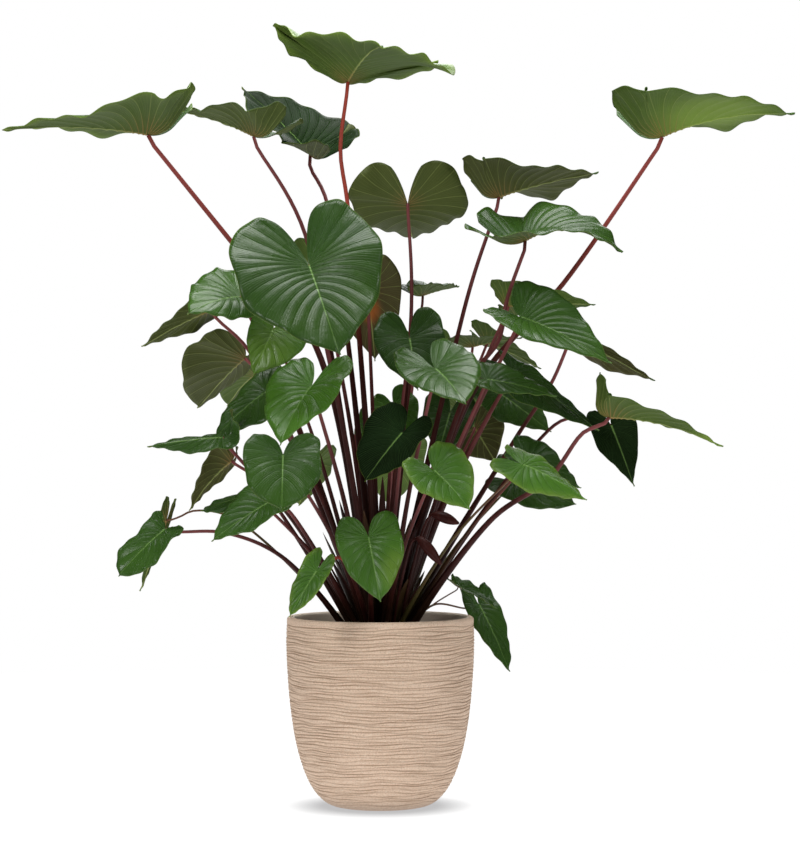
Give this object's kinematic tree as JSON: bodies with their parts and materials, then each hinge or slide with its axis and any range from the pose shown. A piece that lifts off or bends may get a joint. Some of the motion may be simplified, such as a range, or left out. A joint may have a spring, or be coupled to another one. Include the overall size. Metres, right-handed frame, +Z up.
{
  "type": "potted homalomena rubescens",
  "caption": "Leafy aroid house plant: heart-shaped pleated blades on long dark petioles, rising from one crown in the soil of a round ribbed pot.",
  "frame": {"origin": "centre of the pot's flat foot, on the floor", "axes": "+Z up, -Y towards the side that the picture shows, +X to that view's right"},
  "size_m": [1.2617, 0.7501, 1.2476],
  "materials": {
    "pot": "matte, finely ribbed, sand-coloured",
    "soil": "crumbly potting soil",
    "stems": "smooth, dark maroon, softly shiny",
    "blade": "pleated, satin green above, olive below"
  },
  "bodies": {
    "root": {"pot": "pot", "soil": "soil", "stems": "stems", "leaf_01": "blade", "leaf_02": "blade", "leaf_03": "blade", "leaf_04": "blade", "leaf_05": "blade", "leaf_06": "blade", "leaf_07": "blade", "leaf_08": "blade", "leaf_09": "blade", "leaf_10": "blade", "leaf_11": "blade", "leaf_12": "blade", "leaf_13": "blade", "leaf_14": "blade", "leaf_15": "blade", "leaf_16": "blade", "leaf_17": "blade", "leaf_18": "blade", "leaf_19": "blade", "leaf_20": "blade", "leaf_21": "blade", "leaf_22": "blade", "leaf_23": "blade", "leaf_24": "blade", "leaf_25": "blade", "leaf_26": "blade", "leaf_27": "blade", "leaf_28": "blade", "leaf_29": "blade", "leaf_30": "blade", "leaf_31": "blade", "leaf_32": "blade", "leaf_33": "blade", "leaf_34": "blade", "leaf_35": "blade", "leaf_36": "blade", "leaf_37": "blade", "leaf_38": "blade", "leaf_39": "blade", "leaf_40": "blade", "leaf_41": "blade", "leaf_42": "blade", "leaf_43": "blade", "leaf_44": "blade", "leaf_45": "blade", "leaf_46": "blade", "leaf_47": "blade", "leaf_48": "blade", "leaf_49": "blade", "leaf_50": "blade", "leaf_51": "blade", "leaf_52": "blade", "leaf_53": "blade", "leaf_54": "blade", "leaf_55": "blade"}
  },
  "joints": []
}
